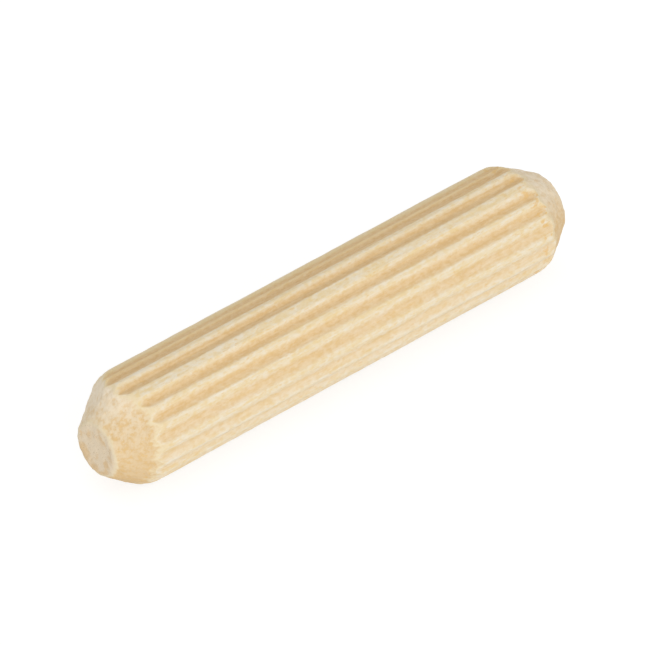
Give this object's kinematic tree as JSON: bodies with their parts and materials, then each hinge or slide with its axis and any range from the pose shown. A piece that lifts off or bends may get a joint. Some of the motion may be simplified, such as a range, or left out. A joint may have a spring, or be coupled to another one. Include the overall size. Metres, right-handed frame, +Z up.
{
  "type": "dowel pin",
  "caption": "Straight wooden dowel pin with lengthwise flutes and tapered ends, glued into matching holes to join two boards.",
  "frame": {"origin": "on the pin's axis, halfway between its two end faces", "axes": "+X along the pin's axis, +Z up with the pin lying on two of its lands and one flute facing straight down"},
  "size_m": [0.04, 0.008, 0.008],
  "materials": {
    "birch": "bare pale birch, matt, pressed smooth in the flutes and sawn rough at the ends"
  },
  "bodies": {
    "root": {"dowel_pin": "birch"}
  },
  "joints": []
}
